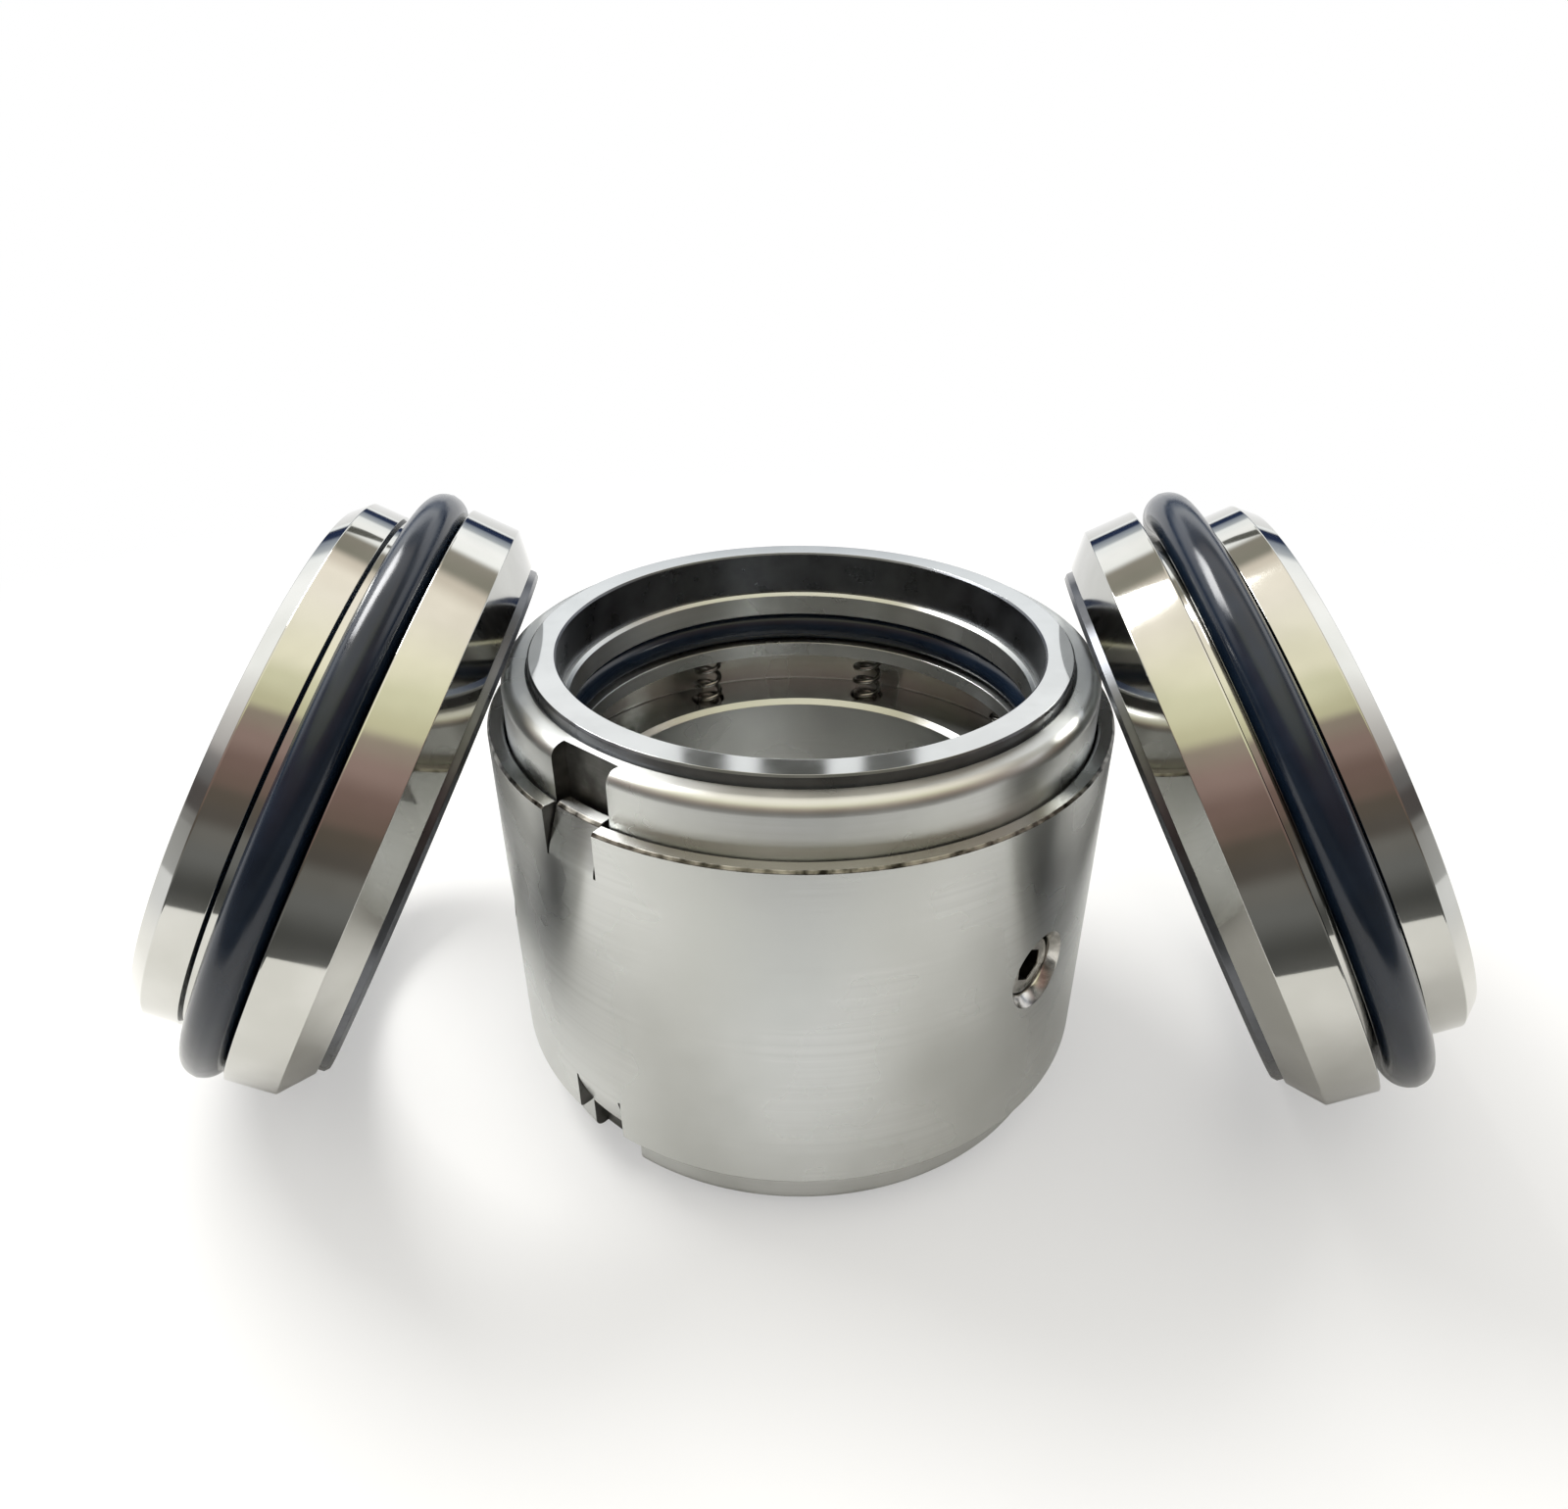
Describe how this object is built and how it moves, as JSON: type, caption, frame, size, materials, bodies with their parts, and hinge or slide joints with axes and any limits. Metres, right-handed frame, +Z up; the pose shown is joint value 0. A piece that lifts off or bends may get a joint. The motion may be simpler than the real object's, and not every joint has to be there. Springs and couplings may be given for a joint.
{
  "type": "double mechanical seal set",
  "caption": "Back-to-back double mechanical seal for a pump shaft: a sprung rotary unit in a steel drum, with a stationary seat and its O-ring leaning on either side.",
  "frame": {"origin": "on the shaft axis, at the plane that the lower sealing face and both seats stand on", "axes": "+Z up along the shaft axis, +X towards the right-hand seat, +Y towards the back"},
  "size_m": [0.1812, 0.0844, 0.0793],
  "materials": {
    "drum_steel": "fine turned stainless steel",
    "holder_steel": "turned stainless steel",
    "seat_steel": "polished stainless steel",
    "face_carbide": "lapped tungsten carbide",
    "spring_steel": "drawn stainless wire",
    "screw_steel": "stainless set screw",
    "oring_rubber": "black fluoroelastomer, slightly glossy"
  },
  "bodies": {
    "drum": {"retainer_drum": "drum_steel", "set_screws": "screw_steel", "upper_spring_1": "spring_steel", "upper_spring_2": "spring_steel", "upper_spring_3": "spring_steel", "upper_spring_4": "spring_steel", "upper_spring_5": "spring_steel", "upper_spring_6": "spring_steel", "upper_spring_7": "spring_steel", "upper_spring_8": "spring_steel", "lower_spring_1": "spring_steel", "lower_spring_2": "spring_steel", "lower_spring_3": "spring_steel", "lower_spring_4": "spring_steel", "lower_spring_5": "spring_steel", "lower_spring_6": "spring_steel", "lower_spring_7": "spring_steel", "lower_spring_8": "spring_steel", "left_seat_body": "seat_steel", "left_seat_insert": "face_carbide", "left_seat_oring": "oring_rubber", "right_seat_body": "seat_steel", "right_seat_insert": "face_carbide", "right_seat_oring": "oring_rubber"},
    "upper_face": {"upper_face_holder": "holder_steel", "upper_face_insert": "face_carbide", "upper_shaft_oring": "oring_rubber", "upper_thrust_ring": "holder_steel"},
    "lower_face": {"lower_face_holder": "holder_steel", "lower_face_insert": "face_carbide", "lower_shaft_oring": "oring_rubber", "lower_thrust_ring": "holder_steel"}
  },
  "joints": [
    {"name": "upper_face_slide", "type": "slide", "parent": "drum", "child": "upper_face", "axis": [0, 0, -1], "range_m": [0, 0.003], "stiffness_N_per_m": 6000, "springref_m": -0.004, "deforming": ["upper_spring_1", "upper_spring_2", "upper_spring_3", "upper_spring_4", "upper_spring_5", "upper_spring_6", "upper_spring_7", "upper_spring_8"]},
    {"name": "lower_face_slide", "type": "slide", "parent": "drum", "child": "lower_face", "axis": [0, 0, 1], "range_m": [0, 0.003], "stiffness_N_per_m": 6000, "springref_m": -0.004, "deforming": ["lower_spring_1", "lower_spring_2", "lower_spring_3", "lower_spring_4", "lower_spring_5", "lower_spring_6", "lower_spring_7", "lower_spring_8"]}
  ]
}
